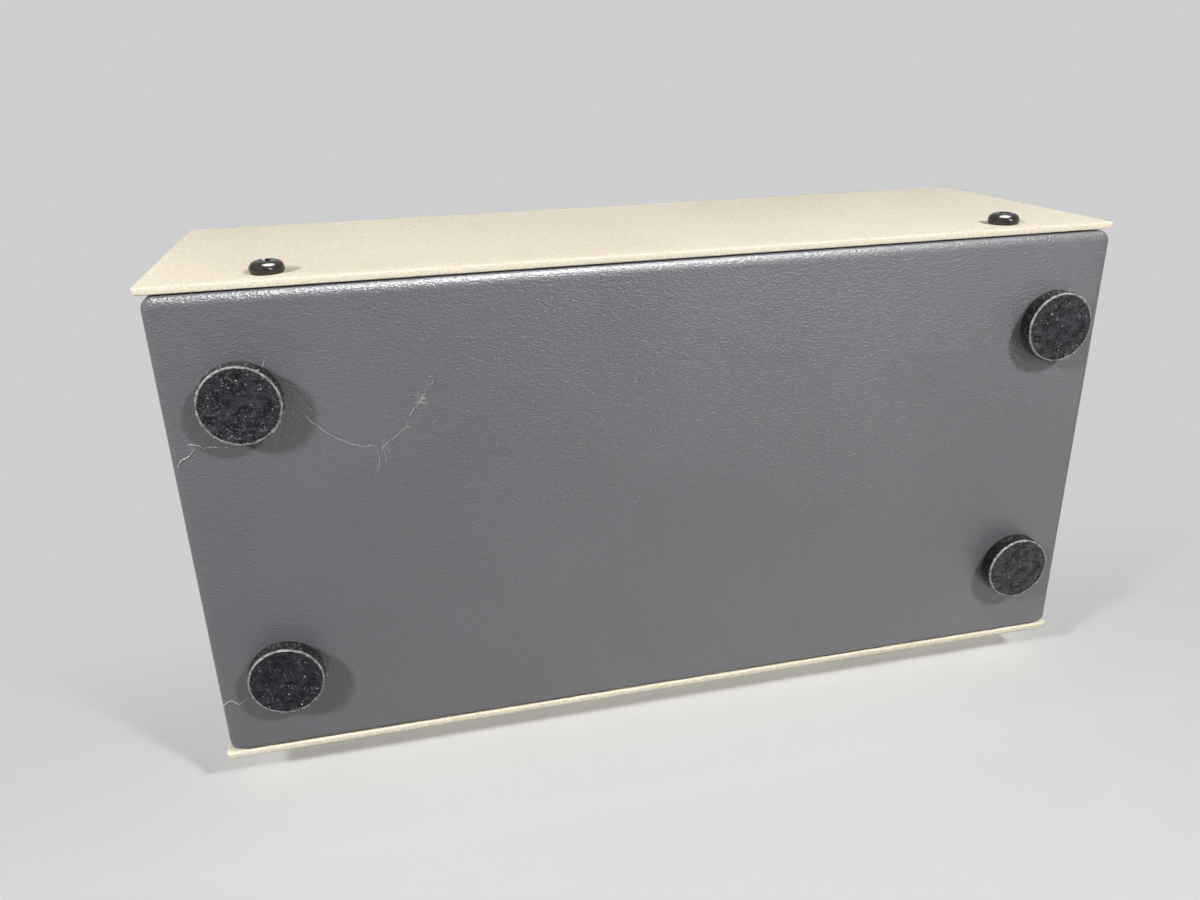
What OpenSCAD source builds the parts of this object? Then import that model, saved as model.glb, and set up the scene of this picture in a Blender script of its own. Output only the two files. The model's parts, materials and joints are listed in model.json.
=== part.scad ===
// Line selector: a desk-top box that passes one of four stereo line inputs to one output.
// It stands on four felt feet with the floor at Z = 0, its front at -Y and its jacks at +Y.
// A folded cover (front, top and rear) is screwed to a chassis tray (bottom and both sides).

/* [Cover] */
// Width of the cover
cover_w = 215; // [190:1:260]
// Depth over the cover's front and rear flanges
cover_d = 110; // [100:0.5:140]
// Height of the cover from its lower edges to its top
cover_h = 74; // [66:0.5:100]
// Sheet thickness of the cover
cover_t = 1.5; // [1:0.1:2]
// Outside radius of the cover's two folds
fold_r = 2.5; // [2.2:0.1:4]
// Radius on the lower corners of the flanges
flange_corner_r = 1; // [0.4:0.1:3]

/* [Chassis] */
// How far the cover stands past each side of the chassis
side_overhang = 1.2; // [0.3:0.1:3]
// How far the chassis stands out below the cover's lower edges
proud = 1.5; // [0.5:0.1:2.5]
// Gap that the paint leaves between the cover and the chassis
paint_gap = 0.3; // [0.1:0.05:0.6]
// Sheet thickness of the chassis
chassis_t = 1.2; // [0.8:0.1:1.6]
// Outside radius of the bends along the bottom
bend_r = 2; // [1.8:0.1:2.4]
// Outside radius of the upright corners
corner_r = 2.5; // [2:0.1:4]
// Height of the front and rear lips that the cover screws pull against
lip_h = 15; // [13:0.5:24]
// Width of the returns at the ends of both sides
return_w = 8; // [6:0.5:14]

/* [Cover screws] */
// Distance of a screw from the nearer end of the cover
screw_in = 24.5; // [18:0.5:40]
// Height of a screw above the lower edge of the cover
screw_up = 7.3; // [7:0.1:9]
// Thread diameter
screw_d = 4; // [3:0.5:4]
// Diameter of the pan head
screw_head_d = 7; // [6:0.1:9]
// Height of the pan head
screw_head_h = 2.6; // [2:0.1:3]
// Rounding of the pan head's shoulder
screw_head_r = 1.7; // [1:0.1:1.9]
// Length under the head
screw_l = 8; // [6:0.5:12]
// Width of one arm of the cross recess
recess_w = 0.9; // [0.6:0.1:1.2]
// Span of the cross recess
recess_span = 3.4; // [2.6:0.1:4]
// Depth of the cross recess
recess_deep = 1.4; // [0.8:0.1:1.8]
// Clearance of the screw in the cover's hole, all round
hole_gap = 0.25; // [0.1:0.05:0.5]
// Clearance in a thread, all round
thread_gap = 0.05; // [0.02:0.01:0.1]
// Body diameter of the clinch nuts behind the lips
clinch_d = 8; // [7:0.1:10]
// Body height of the clinch nuts
clinch_h = 3; // [2:0.1:4]
// Wall of a clinch nut's shank round its thread
clinch_wall = 1; // [0.6:0.1:1.4]

/* [Feet] */
// Diameter of the felt pads
felt_d = 16.5; // [12:0.5:22]
// Thickness of the felt pads
felt_h = 3.6; // [2:0.1:8]
// Thickness of the tape that holds a pad
tape_h = 0.3; // [0.1:0.1:0.6]
// How far the tape stays inside the pad's rim
tape_in = 0.4; // [0.2:0.1:1]
// Distance of a pad's centre from the chassis's side
foot_side = 14.5; // [13:0.5:30]
// Distance of a pad's centre from the chassis's front or rear
foot_end = 21; // [13:0.5:30]

/* [Knob] */
// Distance of the selector's axis in front of the cover's middle
selector_front = 6; // [0:0.5:8]
// Diameter of the knob's grip
knob_d = 34; // [30:0.5:40]
// Diameter of the knob's skirt
skirt_d = 39; // [35:0.5:46]
// Height of the skirt's edge
skirt_h = 2.4; // [1.6:0.1:4]
// Height of the whole knob
knob_h = 17; // [15:0.5:24]
// Rounding of the grip's upper edge
knob_edge_r = 1.5; // [0.5:0.1:2]
// Air under the knob
knob_gap = 1; // [0.6:0.1:2]
// Number of flutes round the grip
flute_count = 30; // [18:1:40]
// Width of a flute
flute_w = 1.8; // [1:0.1:2.2]
// Diameter of the spun cap let into the knob's top
cap_d = 21; // [18:0.5:23]
// Thickness of the cap
cap_h = 1; // [0.6:0.1:1.6]
// Depth of the cap's sunk face
cap_sunk = 0.3; // [0.2:0.1:0.5]
// Width of the rim round the cap's sunk face
cap_rim = 0.8; // [0.5:0.1:2]
// Width of the pointer line
pointer_w = 1.4; // [0.8:0.1:2]
// Depth of the pointer line
pointer_deep = 0.8; // [0.4:0.1:1.2]
// Clearance of the inlays in the knob
inlay_gap = 0.05; // [0.03:0.01:0.1]
// Diameter of the brass bush in the knob
bush_d = 10; // [9:0.1:12]
// Air between the switch's bushing and the brass bush
bush_air = 0.75; // [0.5:0.05:1.5]
// Thickness of the web between the brass bush and the cap
bush_web = 1.5; // [1:0.1:2]
// How far the shaft stays below the closed end of the brass bush
shaft_short = 0.75; // [0.5:0.05:1.5]
// Clearance of the knob round the nut and the washer under it
nut_room = 1.5; // [1:0.1:3]
// Diameter of the knob's grub screw
grub_d = 3; // [2.5:0.5:4]
// Width of the grub screw's key socket
grub_key = 1.5; // [1.2:0.1:2]
// Angle of the pointer at position 1, seen from above
pointer_start = 135; // [120:5:150]
// Angle from one position to the next
step_angle = 30; // [24:1:33]

/* [Rotary switch] */
// Diameter of the shaft
shaft_d = 6; // [5:0.5:6.5]
// Depth of the flat on the shaft's end
flat_deep = 0.75; // [0.4:0.05:1]
// Running clearance of the shaft in its bushing, all round
shaft_gap = 0.04; // [0.02:0.01:0.08]
// Clearance of pieces pushed onto the shaft, all round
push_gap = 0.02; // [0.01:0.01:0.05]
// Diameter of the threaded bushing
bushing_d = 9; // [8.5:0.1:10]
// Reach of the bushing past its nut
bushing_past = 1.5; // [1:0.1:2]
// Width of the switch's mounting plate
plate_w = 44; // [42:0.5:50]
// Depth of the switch's mounting plate
plate_d = 30; // [28:0.5:36]
// Thickness of the mounting plate
plate_t = 2.4; // [1.6:0.1:3]
// Diameter of the peg that keeps the switch from turning
peg_d = 2.5; // [2:0.1:3]
// Distance of the peg from the shaft's axis
peg_r = 11; // [9.5:0.1:12]
// Width across the flats of the bushing's nut
bushing_nut_w = 12; // [11:0.5:14]
// Thickness of the bushing's nut
bushing_nut_h = 2.4; // [2:0.1:3]
// Diameter of the washer under the nut
washer_d = 15; // [13:0.5:17]
// Thickness of the washer
washer_h = 0.8; // [0.5:0.1:1.2]
// Diameter of the detent wheel
wheel_d = 17; // [15:0.5:18]
// Thickness of the detent wheel
wheel_h = 4; // [3.5:0.1:5]
// Depth of a notch
notch_deep = 0.4; // [0.2:0.1:0.6]
// Diameter of the detent balls
ball_d = 4; // [3:0.1:4]
// Thickness of the detent spring
spring_t = 0.5; // [0.3:0.1:0.7]
// Opening of the detent spring
spring_slit = 6; // [3:0.5:10]
// Wall of the detent case
case_wall = 1.4; // [1:0.1:2]
// Clearance inside the detent
detent_gap = 0.06; // [0.04:0.01:0.1]
// Play above and below the detent wheel
wheel_play = 0.25; // [0.15:0.05:0.4]
// Diameter of a wafer
wafer_d = 34; // [32:0.5:36]
// Thickness of a wafer
wafer_t = 1.6; // [1.2:0.1:2]
// Rim of a wafer's ear round its spacer
ear_rim = 1.6; // [1:0.1:2]
// Diameter of a wafer's rotor
rotor_d = 15; // [14:0.5:16]
// Clearance round a rotor
rotor_gap = 0.4; // [0.3:0.05:0.6]
// Angle of the clip of input 1, seen from above
contact_start = 150; // [144:1:156]
// Thickness of the contact clips and the rotor's blade
clip_t = 0.4; // [0.3:0.1:0.5]
// Width of the contact clips
clip_w = 2.4; // [1.8:0.1:3]
// Reach of the contact clips from the shaft's axis
clip_out = 21; // [20:0.5:24]
// Gap between a clip and the rotor's blade
clip_gap = 0.2; // [0.1:0.05:0.3]
// Distance of a tie rod from the shaft's axis
tie_x = 18; // [17.5:0.5:19]
// Diameter of the tie rods
tie_d = 3; // [2:0.5:3]
// Outside diameter of the wafer spacers
spacer_d = 5; // [4.5:0.1:5.5]
// Width across the flats of the tie rods' nuts
tie_nut_w = 5.5; // [5:0.5:6]
// Thickness of the tie rods' nuts
tie_nut_h = 2.4; // [2:0.1:3]
// How far the tie rods and the shaft reach below their last piece
rod_past = 1.5; // [1:0.5:3]

/* [Jacks] */
// Distance between neighbouring input jacks
jack_pitch = 28; // [24:0.5:30]
// Place of the first input, left of the middle
first_input = 62; // [60:0.5:72]
// Place of the output, right of the middle
output_x = 62; // [60:0.5:80]
// Height of the lower row above the cover's lower edge
lower_row = 28; // [26:0.5:32]
// Distance between the two rows
row_pitch = 20; // [19:0.5:24]
// Reach of a jack behind the cover
jack_reach = 9.5; // [8.5:0.1:12]
// Outside diameter of the jack's shell
shell_d = 8.3; // [8:0.1:8.5]
// Inside diameter of the jack's shell
shell_bore = 6.4; // [6:0.1:6.6]
// Diameter of the shell's threaded barrel
barrel_d = 7.5; // [7.2:0.1:7.8]
// Length of the barrel inside the cover
barrel_l = 7; // [6.5:0.1:9]
// Diameter of the shell's collar
collar_d = 11; // [10:0.1:12]
// Thickness of the shell's collar
collar_h = 1; // [0.8:0.1:1.5]
// Diameter of the coloured ring
ring_d = 12.5; // [12:0.1:14]
// Thickness of the coloured ring
ring_h = 1.2; // [0.8:0.1:1.6]
// Diameter of the ring's shoulder in the cover's hole
shoulder_d = 9.6; // [9:0.1:10]
// Clearance of nested jack pieces, all round
nest_gap = 0.06; // [0.04:0.01:0.1]
// Diameter of the hole for the plug's pin
pin_hole_d = 3.4; // [3.2:0.1:3.6]
// Outside diameter of the centre contact
contact_d = 4.4; // [4.2:0.1:4.8]
// Length of the centre contact's tail inside the barrel's end
tail_l = 8; // [6:0.5:10]
// Width of solder tails and lugs
tail_w = 2.4; // [2:0.1:3]
// Thickness of solder tails
tail_t = 0.6; // [0.4:0.1:0.8]
// How far the insulating core stays inside the shell's mouth
core_in = 0.8; // [0.4:0.1:1.5]
// Thickness of the core's front wall
core_wall = 1; // [0.8:0.1:1.5]
// Thickness of the inner insulating washer
inner_washer_h = 1; // [0.8:0.1:1.4]
// Thickness of the ground lug
lug_h = 0.5; // [0.4:0.1:0.8]
// Reach of the ground lug from the jack's axis
lug_reach = 9; // [8:0.5:9]
// Width across the flats of the jack's nut
jack_nut_w = 10; // [9.5:0.1:11]
// Thickness of the jack's nut
jack_nut_h = 2; // [1.6:0.1:2.4]

/* [Wiring] */
// Outside diameter of the signal wires
wire_d = 1.8; // [1.2:0.1:2]
// Diameter of the bare ground wire
bus_d = 1.2; // [0.8:0.1:1.4]
// How far the ground wire reaches past the outer lugs
bus_past = 3; // [2:0.5:6]
// Solder gap at the ends of a wire
solder_gap = 0.15; // [0.1:0.05:0.2]
// Straight pull of a wire where it leaves a clip or a jack
wire_pull = 9; // [6:0.5:11]

/* [Hidden] */

$fn = 48;
// Overlap of a cutting shape past the face that it opens
cut = 1;

// Heights and faces of the casing
base_z = felt_h + tape_h;
cover_low = base_z + proud;
top_z = cover_low + cover_h;
top_in = top_z - cover_t;
front_y = -cover_d / 2;
rear_y = cover_d / 2;
chassis_w = cover_w - 2 * side_overhang;
chassis_d = cover_d - 2 * (cover_t + paint_gap);
side_top = top_in - paint_gap;
screw_x = cover_w / 2 - screw_in;
screw_z = cover_low + screw_up;
clinch_shank_d = screw_d + 2 * clinch_wall;

// Pads are stuck on by hand, so each lies a little inward (+) or outward (-) of its nominal place
foot_drift = [[1, 0.7], [-1.3, 0], [0.8, -1.1], [-0.2, 0.2]];

// Stack of the switch, downwards from the inside of the cover's top
selector_y = -selector_front;
plate_low = top_in - plate_t;
bushing_top = top_z + washer_h + bushing_nut_h + bushing_past;
wheel_top = plate_low - wheel_play;
wheel_low = wheel_top - wheel_h;
notches_per_ball = floor(180 / step_angle);
ball_r = ball_d / 2;
ball_out = wheel_d / 2 + ball_r + detent_gap;
spring_bore_r = ball_out + ball_r + detent_gap;
case_bore_r = spring_bore_r + spring_t + detent_gap;
case_r = case_bore_r + case_wall;
case_floor = wheel_low - wheel_play;
case_low = case_floor - case_wall;

// Rows of jacks, with one wafer at the height of each row
lower_z = cover_low + lower_row;
upper_z = lower_z + row_pitch;
shaft_low = wafer_face(lower_z) - wafer_t - rod_past;
rod_low = wafer_face(lower_z) - wafer_t - tie_nut_h - rod_past;

// Knob
knob_low = top_z + knob_gap;
knob_top = knob_low + knob_h;
bush_low = bushing_top + bush_air;
bush_top = knob_top - cap_h - bush_web;
shaft_top = bush_top - shaft_short;
hollow_d = max(bushing_nut_w / cos(30), washer_d) + 2 * nut_room;
grub_z = (bush_low + bush_top) / 2;

// Columns of jacks and the switch contact that each is wired to, as seen from the front
input_x = [for (i = [0 : 3]) -first_input + i * jack_pitch];
column_x = concat(input_x, [output_x]);
contact_angle = [for (i = [0 : 4]) contact_start - i * step_angle];
tail_end_y = rear_y - barrel_l - tail_l;
lug_y = rear_y - cover_t - inner_washer_h - lug_h;
wire_rings = 12;
wire_sides = 8;

// Top face of the wafer whose clips lie at height z
function wafer_face(z) = z - clip_t / 2;

// Point at share t of a curve from a to d that is pulled towards b and c
function curve(a, b, c, d, t) =
    pow(1 - t, 3) * a + 3 * t * pow(1 - t, 2) * b + 3 * t * t * (1 - t) * c + pow(t, 3) * d;

// Direction of that curve at share t
function heading(a, b, c, d, t) =
    let (v = pow(1 - t, 2) * (b - a) + 2 * t * (1 - t) * (c - b) + t * t * (d - c)) v / norm(v);

// Waste that leaves a round of radius r in the corner towards sx, sy
module corner_waste(r, sx, sy) {
    mirror([sx < 0 ? 1 : 0, 0])
        mirror([0, sy < 0 ? 1 : 0])
            difference() {
                square(r + cut);
                circle(r);
            }
}

// Rectangle, centred, with the corners listed in signs rounded to r
module rounded(w, h, r, signs) {
    difference() {
        square([w, h], center = true);
        for (s = signs)
            translate([s[0] * (w / 2 - r), s[1] * (h / 2 - r)])
                corner_waste(r, s[0], s[1]);
    }
}

upper_corners = [[-1, 1], [1, 1]];
lower_corners = [[-1, -1], [1, -1]];

// Extrusions of an outline along X, along Y and up Z, each centred
module along_x(l) {
    rotate([90, 0, 90]) linear_extrude(l, center = true) children();
}

module along_y(l) {
    rotate([90, 0, 0]) linear_extrude(l, center = true) children();
}

// Pipe standing on its end
module pipe(outer_d, bore_d, h) {
    difference() {
        cylinder(d = outer_d, h = h);
        translate([0, 0, -cut]) cylinder(d = bore_d, h = h + 2 * cut);
    }
}

// Hexagon nut with a bore, standing on its face
module hex_nut(width, bore_d, h) {
    difference() {
        cylinder(d = width / cos(30), h = h, $fn = 6);
        translate([0, 0, -cut]) cylinder(d = bore_d, h = h + 2 * cut);
    }
}

// Places the four cover screws, with local +Z pointing out of the flange
module at_screws() {
    for (sx = [-1, 1], sy = [-1, 1])
        translate([sx * screw_x, sy * cover_d / 2, screw_z])
            rotate([-90 * sy, 0, 0]) children();
}

// Places children on the selector's axis at height z
module on_axis(z) {
    translate([0, selector_y, z]) children();
}

// Places a piece of one jack, with local +Z pointing out of the rear flange and local -Y upwards
module at_jack(column, row_z) {
    translate([column_x[column], rear_y, row_z]) rotate([-90, 0, 0]) children();
}

module at_pair(column) {
    for (row_z = [upper_z, lower_z]) at_jack(column, row_z) children();
}

module at_all_jacks() {
    for (column = [0 : 4]) at_pair(column) children();
}

// Places the two tie rods at height z
module at_ties(z) {
    for (side = [-1, 1]) translate([side * tie_x, selector_y, z]) children();
}

// Folded sheet: front flange, top and rear flange
module cover() {
    inside_h = cover_h - cover_t;
    color("#e9e0ce")
        difference() {
            along_x(cover_w)
                translate([0, cover_low + cover_h / 2]) rounded(cover_d, cover_h, fold_r, upper_corners);
            along_x(cover_w + 2 * cut)
                translate([0, cover_low + (inside_h - cut) / 2])
                    rounded(cover_d - 2 * cover_t, inside_h + cut, fold_r - cover_t, upper_corners);
            for (sx = [-1, 1])
                translate([sx * (cover_w / 2 - flange_corner_r), 0, cover_low + flange_corner_r])
                    along_y(cover_d + 2 * cut) corner_waste(flange_corner_r, sx, -1);
            at_screws()
                translate([0, 0, -cover_t - cut]) cylinder(d = screw_d + 2 * hole_gap, h = cover_t + 2 * cut);
            at_all_jacks()
                translate([0, 0, -cover_t - cut]) cylinder(d = shoulder_d + 2 * nest_gap, h = cover_t + 2 * cut);
            on_axis(top_in - cut) cylinder(d = bushing_d + 2 * hole_gap, h = cover_t + 2 * cut);
            on_axis(top_in - cut)
                translate([0, -peg_r, 0]) cylinder(d = peg_d + 2 * hole_gap, h = cover_t + 2 * cut);
        }
}

// Outline block of the chassis, drawn in by inset on its bottom and its four walls
module chassis_block(inset, block_top) {
    w = chassis_w - 2 * inset;
    d = chassis_d - 2 * inset;
    h = block_top - base_z - inset;
    middle_z = base_z + inset + h / 2;
    intersection() {
        translate([0, 0, middle_z]) along_y(d + 2 * cut) rounded(w, h, bend_r - inset, lower_corners);
        translate([0, 0, middle_z]) along_x(w + 2 * cut) rounded(d, h, bend_r - inset, lower_corners);
        translate([0, 0, base_z + inset])
            linear_extrude(h) rounded(w, d, corner_r - inset, concat(upper_corners, lower_corners));
    }
}

// Tray: bottom, two full sides and low lips along the front and the rear
module chassis() {
    window_w = chassis_w - 2 * return_w;
    color("#737378")
        difference() {
            chassis_block(0, side_top);
            chassis_block(chassis_t, side_top + cut);
            translate([-window_w / 2, front_y, base_z + lip_h])
                cube([window_w, cover_d, cover_h]);
            at_screws()
                translate([0, 0, -cover_t - paint_gap - chassis_t - cut])
                    cylinder(d = clinch_shank_d + 2 * thread_gap, h = chassis_t + 2 * cut);
        }
}

// Clinch nuts pressed into the lips from inside
module clinch_nuts() {
    lip_face = -cover_t - paint_gap;
    color("#b9b7ae")
        at_screws()
            difference() {
                union() {
                    translate([0, 0, lip_face - chassis_t - clinch_h]) cylinder(d = clinch_d, h = clinch_h);
                    translate([0, 0, lip_face - chassis_t]) cylinder(d = clinch_shank_d, h = chassis_t);
                }
                translate([0, 0, lip_face - chassis_t - clinch_h - cut])
                    cylinder(d = screw_d + 2 * thread_gap, h = chassis_t + clinch_h + 2 * cut);
            }
}

// Pan-head screws with a cross recess
module cover_screws() {
    color("#1c1c1e")
        at_screws()
            difference() {
                union() {
                    rotate_extrude()
                        intersection() {
                            translate([0, screw_head_h / 2])
                                rounded(screw_head_d, screw_head_h, screw_head_r, upper_corners);
                            square(screw_head_d);
                        }
                    translate([0, 0, -screw_l]) cylinder(d = screw_d, h = screw_l);
                }
                for (turn = [0, 90])
                    translate([0, 0, screw_head_h - recess_deep / 2 + cut / 2])
                        rotate(turn) cube([recess_span, recess_w, recess_deep + cut], center = true);
            }
}

// Places a pad: side and end are -1 or +1, drift is its own small error of place
module at_foot(side, end, drift) {
    translate([
        side * (chassis_w / 2 - foot_side - drift[0]),
        end * (chassis_d / 2 - foot_end - drift[1]),
        0
    ]) children();
}

module felt_foot(side, end, drift) {
    color("#19191c") at_foot(side, end, drift) cylinder(d = felt_d, h = felt_h);
}

module foot_tapes() {
    color("#d8d6cc")
        for (i = [0 : 3])
            at_foot(i % 2 == 0 ? -1 : 1, i < 2 ? -1 : 1, foot_drift[i])
                translate([0, 0, felt_h]) cylinder(d = felt_d - 2 * tape_in, h = tape_h);
}

// Die-cast frame: mounting plate, threaded bushing and the peg that stops it from turning
module switch_frame() {
    color("#a9aaac")
        difference() {
            union() {
                on_axis(plate_low + plate_t / 2) cube([plate_w, plate_d, plate_t], center = true);
                on_axis(plate_low) cylinder(d = bushing_d, h = bushing_top - plate_low);
                on_axis(plate_low) translate([0, -peg_r, 0]) cylinder(d = peg_d, h = top_z - plate_low);
            }
            on_axis(plate_low - cut)
                cylinder(d = shaft_d + 2 * shaft_gap, h = bushing_top - plate_low + 2 * cut);
            at_ties(plate_low - cut) cylinder(d = tie_d + 2 * thread_gap, h = plate_t + 2 * cut);
        }
}

module switch_washer() {
    color("#c4c2ba") on_axis(top_z) pipe(washer_d, bushing_d + 2 * thread_gap, washer_h);
}

module switch_nut() {
    color("#c4c2ba")
        on_axis(top_z + washer_h) hex_nut(bushing_nut_w, bushing_d + 2 * thread_gap, bushing_nut_h);
}

// Cup under the plate that holds the detent
module detent_case() {
    color("#b4b4b0")
        on_axis(case_low)
            difference() {
                cylinder(r = case_r, h = plate_low - case_low);
                translate([0, 0, case_wall]) cylinder(r = case_bore_r, h = plate_low - case_low);
                translate([0, 0, -cut]) cylinder(d = shaft_d + 2 * rotor_gap, h = case_wall + 2 * cut);
            }
}

// Two balls that drop into the wheel's notches
module detent_balls() {
    color("#cfd0d2")
        on_axis((wheel_low + wheel_top) / 2)
            for (side = [-1, 1]) translate([side * ball_out, 0, 0]) sphere(d = ball_d);
}

// Open spring ring that presses both balls inwards
module detent_spring() {
    color("#8d8f92")
        on_axis(wheel_low)
            difference() {
                pipe(2 * (spring_bore_r + spring_t), 2 * spring_bore_r, wheel_h);
                translate([-spring_slit / 2, -case_r - cut, -cut])
                    cube([spring_slit, case_r, wheel_h + 2 * cut]);
            }
}

module detent_wheel() {
    color("#e8e3d2")
        on_axis(wheel_low)
            difference() {
                cylinder(d = wheel_d, h = wheel_h);
                translate([0, 0, -cut]) cylinder(d = shaft_d + 2 * push_gap, h = wheel_h + 2 * cut);
                for (side = [0, 180], i = [0 : notches_per_ball - 1])
                    rotate(side + i * step_angle)
                        translate([wheel_d / 2 + ball_r - notch_deep, 0, -cut])
                            cylinder(d = ball_d, h = wheel_h + 2 * cut);
            }
}

// Shaft with a flat for the knob's grub screw
module selector_shaft() {
    color("#c9cacc")
        on_axis(0)
            difference() {
                translate([0, 0, shaft_low]) cylinder(d = shaft_d, h = shaft_top - shaft_low);
                rotate(pointer_start + 180)
                    translate([shaft_d / 2 - flat_deep, -shaft_d / 2, bush_low])
                        cube([shaft_d, shaft_d, shaft_top - bush_low + cut]);
            }
}

// Stationary wafer: a disc with two ears on the tie rods
module wafer(z) {
    ear_w = spacer_d + 2 * ear_rim;
    color("#8a5a2b")
        on_axis(wafer_face(z) - wafer_t)
            difference() {
                union() {
                    cylinder(d = wafer_d, h = wafer_t);
                    translate([-tie_x, -ear_w / 2, 0]) cube([2 * tie_x, ear_w, wafer_t]);
                    for (side = [-1, 1]) translate([side * tie_x, 0, 0]) cylinder(d = ear_w, h = wafer_t);
                }
                translate([0, 0, -cut]) cylinder(d = rotor_d + 2 * rotor_gap, h = wafer_t + 2 * cut);
                for (side = [-1, 1])
                    translate([side * tie_x, 0, -cut])
                        cylinder(d = tie_d + 2 * thread_gap, h = wafer_t + 2 * cut);
            }
}

// Clips on a wafer: four short ones for the inputs and a long one that always meets the rotor's ring
module clips(z) {
    color("#d9c98a")
        on_axis(wafer_face(z))
            for (i = [0 : 4]) {
                inner = i < 4 ? rotor_d / 2 - clip_w / 2 : rotor_d / 2 - clip_w;
                rotate(contact_angle[i])
                    translate([inner, -clip_w / 2, 0]) cube([clip_out - inner, clip_w, clip_t]);
            }
}

// Turning disc with its contact blade: a ring and the nose that picks one input
module rotor(z) {
    blade_top = wafer_face(z) - clip_gap;
    disc_low = wafer_face(z) - wafer_t;
    disc_h = blade_top - clip_t - disc_low;
    ring_r = rotor_d / 2 - clip_w / 2 - rotor_gap;
    color("#c9b27a")
        on_axis(disc_low)
            difference() {
                union() {
                    cylinder(d = rotor_d, h = disc_h);
                    cylinder(r = ring_r, h = disc_h + clip_t);
                    rotate(contact_angle[0])
                        translate([0, -clip_w / 2, 0])
                            cube([rotor_d / 2 - rotor_gap, clip_w, disc_h + clip_t]);
                }
                translate([0, 0, -cut]) cylinder(d = shaft_d + 2 * push_gap, h = wafer_t + 2 * cut);
            }
}

// Tubes that hold the wafers at their heights
module wafer_spacers() {
    between = wafer_face(upper_z) - wafer_t - wafer_face(lower_z);
    color("#bdbdb6") {
        at_ties(wafer_face(upper_z)) pipe(spacer_d, tie_d + 2 * thread_gap, plate_low - wafer_face(upper_z));
        at_ties(wafer_face(lower_z)) pipe(spacer_d, tie_d + 2 * thread_gap, between);
    }
}

module tie_rods() {
    color("#c7c7c2") at_ties(rod_low) cylinder(d = tie_d, h = top_in - rod_low);
}

module tie_nuts() {
    color("#c7c7c2")
        at_ties(wafer_face(lower_z) - wafer_t - tie_nut_h)
            hex_nut(tie_nut_w, tie_d + 2 * thread_gap, tie_nut_h);
}

// Half section of the knob's outside: skirt, grip and rounded upper edge
module knob_outline() {
    square([skirt_d / 2, skirt_h]);
    intersection() {
        translate([0, knob_h / 2]) rounded(knob_d, knob_h, knob_edge_r, upper_corners);
        square(knob_h + knob_d);
    }
}

// Place of the grub screw, with local +Z pointing outwards
module at_grub() {
    on_axis(grub_z) rotate(pointer_start + 180) rotate([0, 90, 0]) children();
}

// Slot of the pointer line across the rim between the cap and the edge
module pointer_bar(gap) {
    bar_in = cap_d / 2 + inlay_gap + pointer_w / 2;
    on_axis(knob_top - pointer_deep - gap)
        rotate(pointer_start)
            translate([bar_in - gap, -pointer_w / 2 - gap, 0])
                cube([knob_d / 2 - knob_edge_r - bar_in + 2 * gap, pointer_w + 2 * gap, pointer_deep + gap]);
}

// Moulded knob, hollow underneath to clear the bushing and its nut
module knob_body() {
    color("#242427")
        difference() {
            on_axis(knob_low) rotate_extrude() knob_outline();
            on_axis(knob_low - cut) cylinder(d = hollow_d, h = bush_low - knob_low + cut);
            on_axis(bush_low - cut)
                cylinder(d = bush_d + 2 * inlay_gap, h = bush_top - bush_low + inlay_gap + cut);
            on_axis(knob_top - cap_h - inlay_gap) cylinder(d = cap_d + 2 * inlay_gap, h = cap_h + cut);
            on_axis(knob_low + skirt_h)
                for (i = [0 : flute_count - 1])
                    rotate(pointer_start + (i + 0.5) * 360 / flute_count)
                        translate([knob_d / 2, 0, 0]) cylinder(d = flute_w, h = knob_h);
            at_grub() cylinder(d = grub_d + 2 * thread_gap, h = skirt_d);
            translate([0, 0, cut]) pointer_bar(inlay_gap + cut);
        }
}

// Spun cap with a raised rim round its sunk face
module knob_cap() {
    color("#c6c8cb")
        on_axis(knob_top - cap_h)
            difference() {
                cylinder(d = cap_d, h = cap_h);
                translate([0, 0, cap_h - cap_sunk]) cylinder(d = cap_d - 2 * cap_rim, h = cap_sunk + cut);
            }
}

module knob_pointer() {
    color("#f2efe6") pointer_bar(0);
}

module knob_bush() {
    color("#c9a84a")
        difference() {
            on_axis(bush_low) cylinder(d = bush_d, h = bush_top - bush_low);
            on_axis(bush_low - cut) cylinder(d = shaft_d + 2 * push_gap, h = shaft_top - bush_low + cut);
            at_grub() cylinder(d = grub_d + 2 * thread_gap, h = bush_d);
        }
}

// Grub screw that bears on the shaft's flat
module knob_grub_screw() {
    seat = shaft_d / 2 - flat_deep + push_gap;
    color("#3a3a3c")
        at_grub()
            translate([0, 0, seat])
                difference() {
                    cylinder(d = grub_d, h = knob_d / 2 - flute_w - seat);
                    translate([0, 0, knob_d / 2 - flute_w - seat - grub_key])
                        cylinder(d = grub_key / cos(30), h = grub_key + cut, $fn = 6);
                }
}

// Outer contacts of one pair of jacks: sleeve, collar and threaded barrel
module jack_shells(column) {
    color("#cfa94e")
        at_pair(column)
            difference() {
                union() {
                    translate([0, 0, ring_h]) cylinder(d = shell_d, h = jack_reach - ring_h);
                    translate([0, 0, ring_h]) cylinder(d = collar_d, h = collar_h);
                    translate([0, 0, -barrel_l]) cylinder(d = barrel_d, h = barrel_l + ring_h + cut / 2);
                }
                translate([0, 0, -barrel_l - cut])
                    cylinder(d = shell_bore, h = barrel_l + jack_reach + 2 * cut);
            }
}

// Insulating cores with the hole for the plug's pin
module jack_cores(column) {
    core_top = jack_reach - core_in;
    color("#f0efe9")
        at_pair(column)
            difference() {
                translate([0, 0, -barrel_l]) cylinder(d = shell_bore - 2 * nest_gap, h = core_top + barrel_l);
                translate([0, 0, -barrel_l - cut])
                    cylinder(d = contact_d + 2 * nest_gap, h = core_top - core_wall + barrel_l + cut);
                cylinder(d = pin_hole_d, h = jack_reach + cut);
            }
}

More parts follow.
